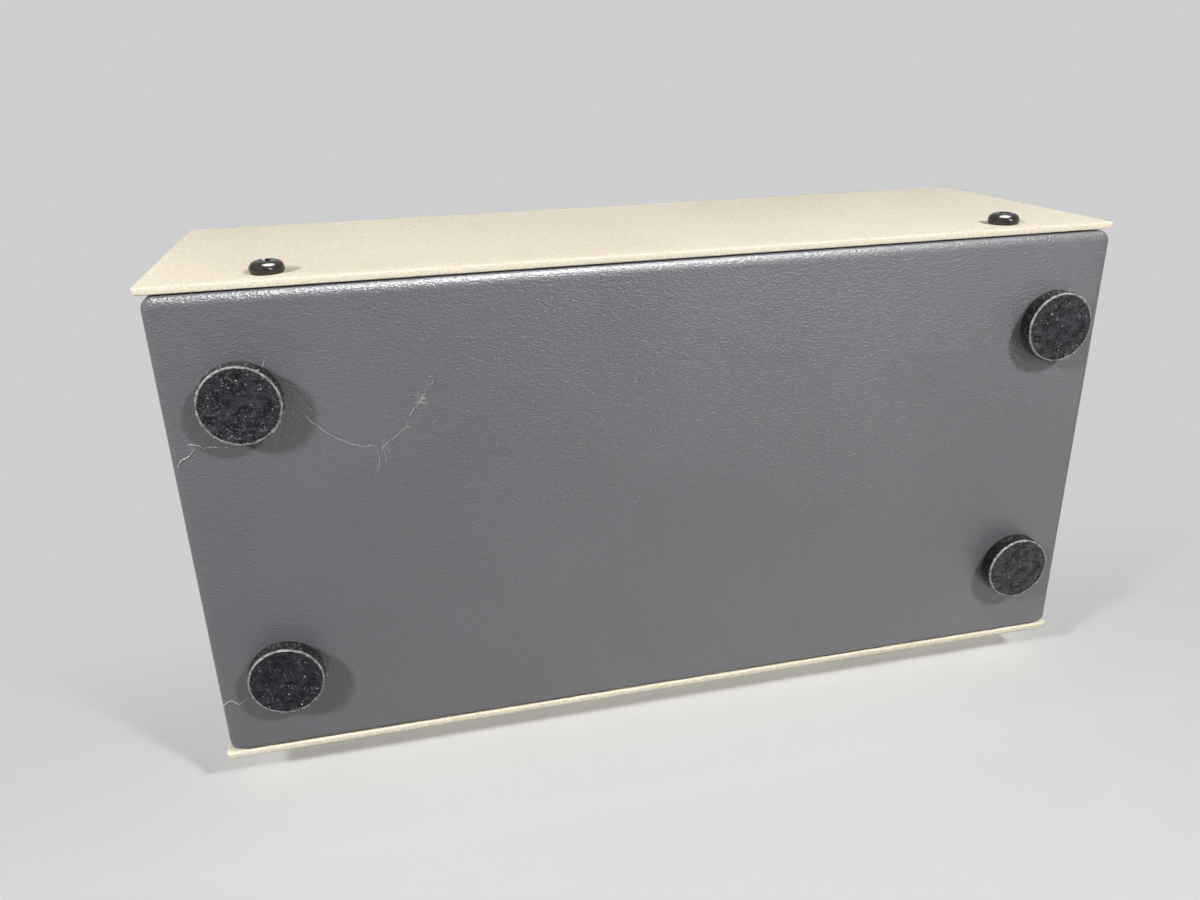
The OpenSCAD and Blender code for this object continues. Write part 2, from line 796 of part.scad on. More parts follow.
// Spring tubes that take the plug's pin, each with a solder tail
module jack_contacts(column) {
    tube_top = jack_reach - core_in - core_wall;
    color("#d4b65c")
        at_pair(column) {
            difference() {
                translate([0, 0, -barrel_l]) cylinder(d = contact_d, h = tube_top + barrel_l);
                cylinder(d = pin_hole_d, h = jack_reach);
            }
            translate([-tail_w / 2, -tail_t / 2, -barrel_l - tail_l]) cube([tail_w, tail_t, tail_l + cut / 2]);
        }
}

// Coloured rings outside the cover, with a shoulder that centres the barrel in its hole
module jack_rings(row_z, tint) {
    color(tint)
        for (column = [0 : 4])
            at_jack(column, row_z)
                difference() {
                    union() {
                        cylinder(d = ring_d, h = ring_h);
                        translate([0, 0, -cover_t]) cylinder(d = shoulder_d, h = cover_t + ring_h / 2);
                    }
                    translate([0, 0, -cover_t - cut])
                        cylinder(d = barrel_d + 2 * nest_gap, h = cover_t + ring_h + 2 * cut);
                }
}

module jack_washers() {
    color("#e6e3d8")
        at_all_jacks()
            translate([0, 0, -cover_t - inner_washer_h])
                pipe(collar_d, barrel_d + 2 * nest_gap, inner_washer_h);
}

// Ground lugs with a tag that stands up to the ground wire
module jack_lugs() {
    color("#d0d0ca")
        at_all_jacks()
            translate([0, 0, -cover_t - inner_washer_h - lug_h])
                difference() {
                    union() {
                        cylinder(d = collar_d, h = lug_h);
                        translate([-tail_w / 2, -lug_reach, 0]) cube([tail_w, lug_reach, lug_h]);
                    }
                    translate([0, 0, -cut]) cylinder(d = barrel_d + 2 * nest_gap, h = lug_h + 2 * cut);
                }
}

module jack_nuts() {
    color("#d6b75e")
        at_all_jacks()
            translate([0, 0, -cover_t - inner_washer_h - lug_h - jack_nut_h])
                hex_nut(jack_nut_w, barrel_d + 2 * nest_gap, jack_nut_h);
}

// Bare wires that join the tags of each row
module ground_wires() {
    run = output_x + first_input + 2 * bus_past;
    color("#d6d6d2")
        for (row_z = [upper_z, lower_z])
            translate([
                -first_input - bus_past,
                lug_y - bus_d / 2 - solder_gap,
                row_z + lug_reach - bus_d
            ]) rotate([0, 90, 0]) cylinder(d = bus_d, h = run);
}

// Insulated wire at height z from the clip of one contact to the tail of one jack
module signal_wire(i, z) {
    out = [cos(contact_angle[i]), sin(contact_angle[i]), 0];
    a = [0, selector_y, z] + (clip_out + solder_gap) * out;
    d = [column_x[i], tail_end_y - solder_gap, z];
    b = a + wire_pull * out;
    c = d - [0, wire_pull, 0];
    rings = [for (k = [0 : wire_rings - 1])
        let (t = k / (wire_rings - 1), p = curve(a, b, c, d, t), h = heading(a, b, c, d, t))
        for (s = [0 : wire_sides - 1])
            let (turn = s * 360 / wire_sides)
            p + wire_d / 2 * (cos(turn) * [-h[1], h[0], 0] + sin(turn) * [0, 0, 1])];
    last = (wire_rings - 1) * wire_sides;
    polyhedron(points = rings, faces = concat(
        [for (s = [1 : wire_sides - 2]) [0, s, s + 1]],
        [for (s = [1 : wire_sides - 2]) [last, last + s + 1, last + s]],
        [for (k = [0 : wire_rings - 2], s = [0 : wire_sides - 1])
            let (n = (s + 1) % wire_sides, r = k * wire_sides)
            [r + s, r + wire_sides + s, r + n]],
        [for (k = [0 : wire_rings - 2], s = [0 : wire_sides - 1])
            let (n = (s + 1) % wire_sides, r = k * wire_sides)
            [r + n, r + wire_sides + s, r + wire_sides + n]]
    ));
}

module wires(z, tint) {
    color(tint) for (i = [0 : 4]) signal_wire(i, z);
}

cover();
chassis();
clinch_nuts();
cover_screws();
felt_foot(-1, -1, foot_drift[0]);  // foot_front_left
felt_foot(1, -1, foot_drift[1]);  // foot_front_right
felt_foot(-1, 1, foot_drift[2]);  // foot_rear_left
felt_foot(1, 1, foot_drift[3]);  // foot_rear_right
foot_tapes();
switch_frame();
switch_washer();
switch_nut();
detent_case();
detent_balls();
detent_spring();
detent_wheel();
selector_shaft();
wafer(upper_z);  // upper_wafer
wafer(lower_z);  // lower_wafer
clips(upper_z);  // upper_clips
clips(lower_z);  // lower_clips
rotor(upper_z);  // upper_rotor
rotor(lower_z);  // lower_rotor
wafer_spacers();
tie_rods();
tie_nuts();
knob_body();
knob_cap();
knob_pointer();
knob_bush();
knob_grub_screw();
jack_shells(0);  // in_1_shells
jack_shells(1);  // in_2_shells
jack_shells(2);  // in_3_shells
jack_shells(3);  // in_4_shells
jack_shells(4);  // out_shells
jack_cores(0);  // in_1_cores
jack_cores(1);  // in_2_cores
jack_cores(2);  // in_3_cores
jack_cores(3);  // in_4_cores
jack_cores(4);  // out_cores
jack_contacts(0);  // in_1_contacts
jack_contacts(1);  // in_2_contacts
jack_contacts(2);  // in_3_contacts
jack_contacts(3);  // in_4_contacts
jack_contacts(4);  // out_contacts
jack_rings(upper_z, "#efeee8");  // left_jack_rings
jack_rings(lower_z, "#b3201f");  // right_jack_rings
jack_washers();
jack_lugs();
jack_nuts();
ground_wires();
wires(upper_z, "#e8e6df");  // left_wires
wires(lower_z, "#a82422");  // right_wires
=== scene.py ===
import json
import math
import random

import bmesh
import bpy
from mathutils import Matrix, Vector, noise


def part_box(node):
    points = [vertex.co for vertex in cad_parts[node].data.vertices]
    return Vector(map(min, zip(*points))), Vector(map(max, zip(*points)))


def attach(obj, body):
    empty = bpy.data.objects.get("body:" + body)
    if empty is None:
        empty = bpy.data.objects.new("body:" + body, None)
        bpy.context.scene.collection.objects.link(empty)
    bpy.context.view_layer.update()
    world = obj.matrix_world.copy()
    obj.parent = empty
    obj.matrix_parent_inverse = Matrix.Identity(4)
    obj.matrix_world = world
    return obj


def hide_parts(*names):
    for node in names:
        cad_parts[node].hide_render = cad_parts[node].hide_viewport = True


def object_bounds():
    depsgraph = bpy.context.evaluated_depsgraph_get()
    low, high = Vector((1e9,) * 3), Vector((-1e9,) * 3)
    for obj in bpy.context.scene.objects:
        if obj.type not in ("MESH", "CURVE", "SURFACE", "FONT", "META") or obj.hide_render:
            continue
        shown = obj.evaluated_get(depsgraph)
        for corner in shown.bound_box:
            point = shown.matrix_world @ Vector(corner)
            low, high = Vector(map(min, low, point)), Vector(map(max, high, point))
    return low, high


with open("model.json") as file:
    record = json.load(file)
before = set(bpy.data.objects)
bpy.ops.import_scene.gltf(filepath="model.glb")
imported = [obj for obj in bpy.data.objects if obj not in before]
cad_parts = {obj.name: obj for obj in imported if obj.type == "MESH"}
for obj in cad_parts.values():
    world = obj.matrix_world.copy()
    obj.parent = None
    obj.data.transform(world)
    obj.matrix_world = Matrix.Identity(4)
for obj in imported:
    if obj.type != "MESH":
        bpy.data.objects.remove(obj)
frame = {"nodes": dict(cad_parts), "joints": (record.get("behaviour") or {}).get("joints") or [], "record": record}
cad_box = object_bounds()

# Tray
# The bottom and both ends of the box are one steel sheet, folded up on all four sides in tight round bends.
# It is sprayed mid grey with a paint that dries to a fine leather grain.
mm = 0.001
tray_low, tray_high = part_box("chassis")
tray_sheet = 1.2 * mm
tray_bend = 2.0 * mm
tray_corner = 2.5 * mm
tray_lip = 15 * mm
tray_return = 8 * mm
bend_steps = 6
grain_pitch = 0.34 * mm
grain_height = 0.19 * mm
grain_stretch = 0.62
swell_pitch = 0.9 * mm
noise_span = (0.3, 0.7)


def seen(code):
    """Linear colour of a hex code as it shows on a screen."""
    parts = [int(code[i : i + 2], 16) / 255 for i in (0, 2, 4)]
    return [p / 12.92 if p <= 0.04045 else ((p + 0.055) / 1.055) ** 2.4 for p in parts]


def new_finish(name, colour, **even):
    """Node material; even holds the shader's sockets that have one value all over."""
    finish = bpy.data.materials.new(name)
    finish.use_nodes = True
    shader = finish.node_tree.nodes["Principled BSDF"]
    shader.inputs["Base Color"].default_value = (*seen(colour), 1)
    for socket, value in even.items():
        shader.inputs[socket.replace("_", " ")].default_value = value
    return finish


def add_node(finish, kind, inputs=None, **settings):
    """Adds a shader node; each input takes a value or another node's output."""
    made = finish.node_tree.nodes.new("ShaderNode" + kind)
    for name, value in settings.items():
        setattr(made, name, value)
    for name, value in (inputs or {}).items():
        if isinstance(value, bpy.types.NodeSocket):
            finish.node_tree.links.new(value, made.inputs[name])
        else:
            made.inputs[name].default_value = value
    return made


def into_shader(finish, output, socket):
    """Joins an output to a socket of the finish's shader."""
    finish.node_tree.links.new(output, finish.node_tree.nodes["Principled BSDF"].inputs[socket])


def on_piece(finish):
    """Place on the piece in metres."""
    return add_node(finish, "TexCoord").outputs["Object"]


def speckle(finish, size, detail=2.0):
    """Noise from 0 to 1 in patches of about that size."""
    inputs = {"Vector": on_piece(finish), "Scale": 1 / size, "Detail": detail}
    return add_node(finish, "TexNoise", inputs).outputs["Fac"]


def between(finish, value, low, high, start=0.0, end=1.0):
    """Carries a value from the span low to high over to the span start to end, and stops at both ends."""
    inputs = {"Value": value, "From Min": low, "From Max": high, "To Min": start, "To Max": end}
    return add_node(finish, "MapRange", inputs).outputs["Result"]


def sum_of(finish, first, second, share=1.0):
    """First plus share times second."""
    inputs = {0: second, 1: share, 2: first}
    return add_node(finish, "Math", inputs, operation="MULTIPLY_ADD").outputs["Value"]


def product(finish, first, second):
    """First times second."""
    return add_node(finish, "Math", {0: first, 1: second}, operation="MULTIPLY").outputs["Value"]


def two_tone(finish, share, first, second):
    """Colour that goes from first to second, each a hex code or an output."""
    ends = [c if isinstance(c, bpy.types.NodeSocket) else (*seen(c), 1) for c in (first, second)]
    mix = add_node(finish, "Mix", {0: share, 6: ends[0], 7: ends[1]}, data_type="RGBA")
    return mix.outputs[2]


def mottle(finish, size, first, second):
    """Base colour in soft patches of about that size, from one hex code to the other."""
    share = between(finish, speckle(finish, size), *noise_span)
    into_shader(finish, two_tone(finish, share, first, second), "Base Color")


def uneven_gloss(finish, size, least, most):
    """Roughness in soft patches of about that size."""
    into_shader(finish, between(finish, speckle(finish, size), *noise_span, least, most), "Roughness")


def raise_grain(finish, height, depth):
    """Bump of that depth where the height goes from 0 to 1."""
    bump = add_node(finish, "Bump", {"Height": height, "Distance": depth})
    into_shader(finish, bump.outputs["Normal"], "Normal")


def leather_paint():
    """Grey paint with a leathery grain well under a millimetre across, drawn out along the box."""
    finish = new_finish("leather_paint", "636367", Specular_IOR_Level=0.9)
    drawn = add_node(finish, "Mapping", {"Vector": on_piece(finish), "Scale": (grain_stretch, 1, 1)})
    inputs = {"Vector": drawn.outputs["Vector"], "Scale": 1 / grain_pitch, "Detail": 1.0}
    grain = add_node(finish, "TexNoise", inputs).outputs["Fac"]
    swell = speckle(finish, swell_pitch, 1.0)
    raise_grain(finish, sum_of(finish, grain, swell, 0.3), grain_height)
    tone = sum_of(finish, speckle(finish, 35 * mm), swell, 0.4)
    into_shader(finish, two_tone(finish, between(finish, tone, 0.35, 1.0), "5e5e62", "67676b"), "Base Color")
    uneven_gloss(finish, 12 * mm, 0.36, 0.41)
    return finish


def block_between(low, high):
    """Closed block between two corners."""
    block = bmesh.new()
    bmesh.ops.create_cube(block, size=1)
    for v in block.verts:
        v.co = Vector(l + (c + 0.5) * (h - l) for l, h, c in zip(low, high, v.co))
    return block


def round_edges(shape, edges, radius, steps):
    """Rounds some edges of a bmesh."""
    bmesh.ops.bevel(shape, geom=edges, offset=radius, segments=steps, profile=0.5, affect="EDGES")


def rounded_block(low, high, corner, bend):
    """Closed block with rounded upright corners and a rounded lower rim."""
    block = block_between(low, high)
    upright = [e for e in block.edges if abs(e.verts[0].co.z - e.verts[1].co.z) > 1e-6]
    round_edges(block, upright, corner, bend_steps)
    rim = [e for e in block.edges if all(abs(v.co.z - low[2]) < 1e-7 for v in e.verts)]
    round_edges(block, rim, bend, bend_steps)
    return block


def as_mesh(shape, name):
    """Turns a bmesh into a mesh and frees it."""
    bmesh.ops.recalc_face_normals(shape, faces=shape.faces)
    mesh = bpy.data.meshes.new(name)
    shape.to_mesh(mesh)
    shape.free()
    return mesh


def new_object(name, data):
    """Puts a mesh, curve, light or camera into the scene."""
    made = bpy.data.objects.new(name, data)
    bpy.context.scene.collection.objects.link(made)
    return made


def cut_out(piece, cutter_shape):
    """Cuts the closed bodies of a bmesh out of a piece."""
    cutter = new_object("cutter", as_mesh(cutter_shape, "cutter"))
    cut = piece.modifiers.new("cut", "BOOLEAN")
    cut.operation = "DIFFERENCE"
    cut.solver = "EXACT"
    cut.object = cutter
    bpy.context.view_layer.update()
    evaluated = piece.evaluated_get(bpy.context.evaluated_depsgraph_get())
    whole = bpy.data.meshes.new_from_object(evaluated)
    piece.modifiers.remove(cut)
    piece.data = whole
    bpy.data.objects.remove(cutter)


def shade_round(mesh, crease=32):
    """Smooth shading that breaks at edges sharper than the crease, in degrees."""
    mesh.polygons.foreach_set("use_smooth", [True] * len(mesh.polygons))
    mesh.set_sharp_from_angle(angle=math.radians(crease))


def dress(piece, finish, slot, body, *stands_for):
    """Gives a new piece its finish and body, and hides the nodes that it stands for; the slot is not used."""
    piece.data.materials.clear()
    piece.data.materials.append(finish)
    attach(piece, body)
    if stands_for:
        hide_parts(*stands_for)


tray = new_object("tray", as_mesh(rounded_block(tray_low, tray_high, tray_corner, tray_bend), "tray"))
hollow_low = tray_low + Vector((tray_sheet, tray_sheet, tray_sheet))
hollow_high = tray_high + Vector((-tray_sheet, -tray_sheet, tray_sheet))
cut_out(tray, rounded_block(hollow_low, hollow_high, tray_corner - tray_sheet, tray_bend - tray_sheet))
window_low = tray_low + Vector((tray_return, -tray_sheet, tray_lip))
window_high = tray_high + Vector((-tray_return, tray_sheet, tray_sheet))
cut_out(tray, block_between(window_low, window_high))
shade_round(tray.data)
dress(tray, leather_paint(), "chassis_paint", "casing", "chassis")

# Clinch nuts and plated hardware
# Nuts, rods, tubes and washers turned or stamped from steel and zinc plated. The clinch nuts are pressed into
# the tray's lips, and the rest holds the rotary switch together.


def zinc_plate():
    """Bright zinc plate with a faint blue and yellow cast and fine rolling marks."""
    finish = new_finish("zinc_plate", "c6c6c0", Metallic=1.0)
    mottle(finish, 4 * mm, "bfc4c8", "cfcab6")
    uneven_gloss(finish, 0.6 * mm, 0.24, 0.42)
    raise_grain(finish, speckle(finish, 0.15 * mm), 0.006 * mm)
    return finish


def paint_node(finish, *names):
    """Puts a finish on CAD nodes."""
    for name in names:
        for slot in frame["nodes"][name].material_slots:
            slot.material = finish


zinc = zinc_plate()
paint_node(zinc, "clinch_nuts", "detent_case", "detent_balls", "detent_spring", "selector_shaft")
paint_node(zinc, "wafer_spacers", "tie_rods", "tie_nuts", "jack_lugs", "switch_washer", "switch_nut")

# Felt feet
# Four round pads punched from pressed black felt and stuck on by hand with thin tape. Their punched rims have
# frayed to a pale fuzzy ring, and the nap has picked up lint. Its clumps are placed in millimetres from the
# centre of each pad.
felt_names = ("foot_front_left", "foot_front_right", "foot_rear_left", "foot_rear_right")
# Each pad's flecks have a grey of their own, lightest on the rear right pad and darkest on the rear left.
pad_fleck_greys = ("4a4a50", "505054", "36363e", "616163")
lint_specks = (250, 220, 170, 150)
lint_clumps = (
    ((-2.4, 6.1), (-8.0, 0.8), (5.6, 6.0), (4.4, -7.0), (0.2, -5.4), (4.6, -3.2)),
    ((-2.9, -3.5), (-5.8, 3.9), (2.6, 6.9)),
    ((4.0, -0.7), (0.3, 1.2), (0.1, 3.3), (-4.4, 5.9), (2.4, 6.4), (6.3, 2.9)),
    ((-1.9, -2.9), (-2.3, 2.2), (-6.8, 3.4), (0.6, 4.6)),
)
felt_turns = 144
face_rings = 22
rim_rings = 4
side_rings = 10
felt_rim = 0.35 * mm
nap_depth = 0.07 * mm
nap_lumps = 0.8 * mm
nap_waves = 3 * mm
nap_radius = 0.022 * mm
nap_start = 0.09 * mm
nap_lowest = 0.02 * mm
face_strands = 900
face_lengths = (0.35 * mm, 0.9 * mm)
side_strands = 1000
side_lengths = (0.25 * mm, 0.6 * mm)
ring_width = 0.42 * mm
ring_strands = 230
ring_insets = (0.03 * mm, 0.36 * mm)
ring_height = 0.06 * mm
ring_radii = (0.016 * mm, 0.042 * mm)
outer_ring = 0.15 * mm
loose_strands = 130
loose_heights = (0.1 * mm, 2.6 * mm)
loose_lengths = (0.4 * mm, 1.0 * mm)
loose_radius = 0.02 * mm
lint_height = 0.03 * mm
fine_lengths = (0.15 * mm, 1.6 * mm)
fine_radius = 0.014 * mm
coarse_share = 0.12
coarse_lengths = (0.15 * mm, 0.4 * mm)
coarse_radii = (0.04 * mm, 0.1 * mm)
clump_strands = 3
clump_height = 0.06 * mm
clump_length = 0.3 * mm
clump_radii = (0.08 * mm, 0.13 * mm)
comb_angle = math.radians(35)
comb_squeeze = (1, 4, 1)
felt_low, felt_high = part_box(felt_names[0])
felt_radius = (felt_high.x - felt_low.x) / 2
felt_height = felt_high.z - felt_low.z


def off_axis(finish, place):
    """Distance from the upright axis through the origin."""
    parts = add_node(finish, "SeparateXYZ", {0: place}).outputs
    flat = add_node(finish, "CombineXYZ", {"X": parts["X"], "Y": parts["Y"]}).outputs["Vector"]
    return add_node(finish, "VectorMath", {0: flat}, operation="LENGTH").outputs["Value"]


def felt_finish(name, dust):
    """Black felt: clotted nap, flecks of dust in each pad's own grey and a pale frayed ring at the rim of the
    face.
    The side wall is painted near black, which is painted shade.
    """
    dull = {"Roughness": 0.95, "Specular_IOR_Level": 0.1, "Sheen_Weight": 0.12}
    finish = new_finish("felt_of_" + name, "17171b", **dull)
    inputs = {"Vector": on_piece(finish), "Rotation": (0, 0, comb_angle), "Scale": comb_squeeze}
    combed = add_node(finish, "Mapping", inputs).outputs["Vector"]
    inputs = {"Vector": combed, "Scale": 1 / (3.2 * mm), "Detail": 3.0}
    streaks = add_node(finish, "TexNoise", inputs).outputs["Fac"]
    clots = sum_of(finish, speckle(finish, 2.4 * mm, 3.0), streaks, 0.7)
    clots = between(finish, clots, 0.68, 1.02)
    nap = two_tone(finish, clots, "050509", "2b2b31")
    fuzz = between(finish, speckle(finish, 0.3 * mm, 3.0), 0.38, 0.72)
    nap = two_tone(finish, product(finish, fuzz, sum_of(finish, 0.35, clots)), nap, dust)
    out = off_axis(finish, on_piece(finish))
    frayed = sum_of(finish, out, speckle(finish, 0.45 * mm, 3.0), -0.7 * mm)
    inner = felt_radius - ring_width - 0.35 * mm
    ring = between(finish, frayed, inner - 0.14 * mm, inner + 0.12 * mm)
    height = add_node(finish, "SeparateXYZ", {0: on_piece(finish)}).outputs["Z"]
    near_face = between(finish, height, 0.2 * mm, 0.45 * mm, 1.0, 0.0)
    worn = between(finish, speckle(finish, 1.0 * mm, 3.0), 0.36, 0.62, 0.2, 1.0)
    ring = product(finish, product(finish, ring, near_face), worn)
    # Painted shade: up the side wall, away from the face, the nap is painted near black.
    nap = two_tone(finish, near_face, "0b0b0f", nap)
    into_shader(finish, two_tone(finish, ring, nap, "b6b4ae"), "Base Color")
    tangle = sum_of(finish, speckle(finish, 0.22 * mm, 3.0), speckle(finish, 0.9 * mm))
    raise_grain(finish, tangle, 0.16 * mm)
    return finish


def lint_finish():
    """Pale dust and fibres."""
    finish = new_finish("lint", "c9c8c4", Roughness=0.9, Specular_IOR_Level=0.2)
    mottle(finish, 0.7 * mm, "a3a2a3", "e6e4df")
    return finish


def join_rows(shape, rows):
    """Faces between rows of points that run round a piece."""
    for lower, upper in zip(rows, rows[1:]):
        for k in range(len(lower)):
            shape.faces.new((lower[k - 1], lower[k], upper[k], upper[k - 1]))


def add_strand(shape, points, radius):
    """Thin three-sided fibre through a row of points, closed at both ends."""
    rings = []
    for i, point in enumerate(points):
        ahead = points[min(i + 1, len(points) - 1)] - points[max(i - 1, 0)]
        side = ahead.cross(Vector((0.3, 0.2, 0.9))).normalized()
        rise = ahead.cross(side).normalized()
        thin = radius * (1 - 0.6 * i / (len(points) - 1))
        turns = [math.radians(120 * k) for k in range(3)]
        spots = [point + thin * (side * math.cos(t) + rise * math.sin(t)) for t in turns]
        rings.append([shape.verts.new(spot) for spot in spots])
    join_rows(shape, rings)
    shape.faces.new(rings[0][::-1])
    shape.faces.new(rings[-1])


def curl(draw, start, heading, length, bend, steps=3):
    """Points of a short fibre that wanders from its heading."""
    points = [start.copy()]
    for _ in range(steps):
        heading = (heading + bend * Vector(draw.uniform(-1, 1) for _ in range(3))).normalized()
        points.append(points[-1] + heading * (length / steps))
    return points


def flat_heading(draw):
    """Random direction along the face."""
    turn = draw.uniform(0, math.tau)
    return Vector((math.cos(turn), math.sin(turn), 0))


def laid(points, height):
    """The same points, all at one height."""
    return [Vector((point.x, point.y, height)) for point in points]


def felt_pad(seed):
    """Punched pad about its own centre, face down, with its surface uneven and its nap standing out."""
    pad = bmesh.new()
    draw = random.Random(seed)
    drift = Vector((seed * 3.1, seed * 1.7, 0))
    flat_radius = felt_radius - felt_rim - nap_depth
    outline = [(flat_radius * i / face_rings, 0.0) for i in range(1, face_rings + 1)]
    for i in range(1, rim_rings + 1):
        turn = math.radians(90 * i / rim_rings)
        outline.append((flat_radius + felt_rim * math.sin(turn), felt_rim * (1 - math.cos(turn))))
    side = felt_height - felt_rim
    outline += [(flat_radius + felt_rim, felt_rim + side * i / side_rings) for i in range(1, side_rings + 1)]
    rows = []
    for radius, height in outline:
        row = []
        for k in range(felt_turns):
            turn = math.tau * k / felt_turns
            outward = Vector((math.cos(turn), math.sin(turn), 0))
            spot = outward * radius + Vector((0, 0, height))
            rough = noise.noise(spot / nap_lumps + drift) + 0.8 * noise.noise(spot / nap_waves + drift)
            lift = nap_depth * (0.5 + 0.5 * max(-1, min(1, rough)))
            on_face = max(0, 1 - height / felt_rim)
            at_top = height > felt_height - 0.01 * mm
            spot += lift * ((1 - on_face) * outward + Vector((0, 0, 0 if at_top else on_face)))
            row.append(pad.verts.new(spot))
        rows.append(row)
    middle = pad.verts.new((0, 0, nap_depth / 2))
    for k in range(felt_turns):
        pad.faces.new((middle, rows[0][k], rows[0][k - 1]))
    join_rows(pad, rows)
    pad.faces.new(rows[-1])
    for _ in range(face_strands):
        start = flat_heading(draw) * (felt_radius * math.sqrt(draw.random()) * 0.97)
        start.z = nap_start
        heading = flat_heading(draw) + Vector((0, 0, -0.12))
        points = curl(draw, start, heading, draw.uniform(*face_lengths), 0.35)
        for point in points:
            point.z = max(point.z, nap_lowest)
        add_strand(pad, points, nap_radius)
    for _ in range(side_strands):
        outward = flat_heading(draw)
        start = outward * (felt_radius - 1.5 * nap_depth)
        start.z = draw.uniform(0.1, 0.92) * felt_height
        slant = Vector((-outward.y, outward.x, 0)) * draw.uniform(-1.2, 1.2)
        points = curl(draw, start, outward + slant, draw.uniform(*side_lengths), 0.4)
        add_strand(pad, points, nap_radius)
    return pad


def lint_ring(seed):
    """Frayed pale fibres along the rim of a pad, a few of them standing off, and lint on its face."""
    ring = bmesh.new()
    draw = random.Random(seed + 50)
    for _ in range(ring_strands):
        turn = draw.uniform(0, math.tau)
        sweep = draw.uniform(0.06, 0.22)
        inset = draw.uniform(*ring_insets)
        lift = draw.uniform(0, felt_rim)
        height = ring_height + (lift if inset < outer_ring else 0)
        points = []
        for i in range(4):
            at = turn + sweep * i / 3
            wander = felt_radius - inset + draw.uniform(-0.16, 0.1) * mm
            points.append(Vector((math.cos(at) * wander, math.sin(at) * wander, height)))
        add_strand(ring, points, draw.uniform(*ring_radii))
    for _ in range(loose_strands):
        outward = flat_heading(draw)
        start = outward * (felt_radius - 0.1 * mm)
        start.z = draw.uniform(*loose_heights)
        slant = Vector((-outward.y, outward.x, 0.3)) * draw.uniform(-1.5, 1.5)
        points = curl(draw, start, outward + slant, draw.uniform(*loose_lengths), 0.4)
        add_strand(ring, points, loose_radius)
    for _ in range(lint_specks[seed]):
        start = flat_heading(draw) * (felt_radius * draw.random() ** 0.4 * 0.95)
        heading = flat_heading(draw)
        coarse = draw.random() < coarse_share
        length = draw.uniform(*(coarse_lengths if coarse else fine_lengths))
        points = curl(draw, start, heading, length, 0.6, 4)
        radius = draw.uniform(*coarse_radii) if coarse else fine_radius
        add_strand(ring, laid(points, lint_height), radius)
    for x, y in lint_clumps[seed]:
        for _ in range(clump_strands):
            start = Vector((x + draw.uniform(-0.1, 0.1), y + draw.uniform(-0.1, 0.1), 0)) * mm
            points = curl(draw, start, flat_heading(draw), clump_length, 0.2)
            add_strand(ring, laid(points, clump_height), draw.uniform(*clump_radii))
    return ring


lint = lint_finish()
for seed, name in enumerate(felt_names):
    low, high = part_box(name)
    centre = Vector(((low.x + high.x) / 2, (low.y + high.y) / 2, low.z))
    pad = new_object("felt_" + name, as_mesh(felt_pad(seed), name))
    pad.location = centre
    shade_round(pad.data, crease=60)
    dress(pad, felt_finish(name, pad_fleck_greys[seed]), "felt", "casing", name)
    ring = new_object("lint_" + name, as_mesh(lint_ring(seed), name + "_lint"))
    ring.location = centre
    shade_round(ring.data, crease=80)
    dress(ring, lint, "felt", "casing")

# Foot tapes
# Thin double-sided tape between each pad and the tray, punched a little smaller than the pad. Only its cream
# edge could ever show.


def tape_finish():
    """Cream paper tape."""
    finish = new_finish("paper_tape", "d8d5c8", Roughness=0.7)
    mottle(finish, 0.8 * mm, "cfcbbb", "dedbd0")
    raise_grain(finish, speckle(finish, 0.3 * mm), 0.01 * mm)
    return finish


paint_node(tape_finish(), "foot_tapes")

# Rotary switch
# A die-cast frame hangs under the cover's top by its bushing. A notched nylon wheel gives the click, and two
# laminate wafers with spring-brass clips and turning rotors carry the left and the right channel.
fibre_squeeze = (1, 9, 1)


def die_cast():
    """Sand-grey cast zinc alloy with a soft tumbled surface."""
    finish = new_finish("die_cast", "a9aaac", Metallic=0.9)
    mottle(finish, 2 * mm, "9c9da0", "b4b5b6")
    uneven_gloss(finish, 1 * mm, 0.45, 0.6)
    raise_grain(finish, speckle(finish, 0.4 * mm), 0.02 * mm)
    return finish


def nylon():
    """Natural nylon, a little translucent and milky."""
    finish = new_finish("nylon", "e8e3d2", Roughness=0.4, Subsurface_Weight=0.15, Subsurface_Scale=1 * mm)
    mottle(finish, 5 * mm, "e2dcc9", "eee9da")
    raise_grain(finish, speckle(finish, 0.5 * mm), 0.008 * mm)
    return finish


def laminate():
    """Brown paper laminate with its fibres along the box."""
    finish = new_finish("laminate", "8a5a2b", Roughness=0.5)
    long_way = add_node(finish, "Mapping", {"Vector": on_piece(finish), "Scale": fibre_squeeze})
    inputs = {"Vector": long_way.outputs["Vector"], "Scale": 1 / (3 * mm), "Detail": 4.0}
    fibres = add_node(finish, "TexNoise", inputs).outputs["Fac"]
    share = between(finish, sum_of(finish, fibres, speckle(finish, 6 * mm), 0.6), 0.5, 1.1)
    into_shader(finish, two_tone(finish, share, "7a4c22", "9b6a36"), "Base Color")
    raise_grain(finish, fibres, 0.01 * mm)
    return finish


def spring_brass():
    """Rolled brass, dulled in places by handling."""
    finish = new_finish("spring_brass", "d3b76a", Metallic=1.0)
    mottle(finish, 3 * mm, "c6a658", "dcc27a")
    uneven_gloss(finish, 1.2 * mm, 0.22, 0.4)
    return finish


brown_laminate = laminate()
brass = spring_brass()
paint_node(die_cast(), "switch_frame")
paint_node(nylon(), "detent_wheel")
paint_node(brown_laminate, "upper_wafer", "lower_wafer", "upper_rotor", "lower_rotor")
paint_node(brass, "upper_clips", "lower_clips")

# Phono jacks
# Five pairs in the rear flange, four inputs and one output. Each has a gold-plated shell and centre contact,
# a moulded core, and a ring that is white for the left channel and red for the right.
jack_names = ("in_1", "in_2", "in_3", "in_4", "out")


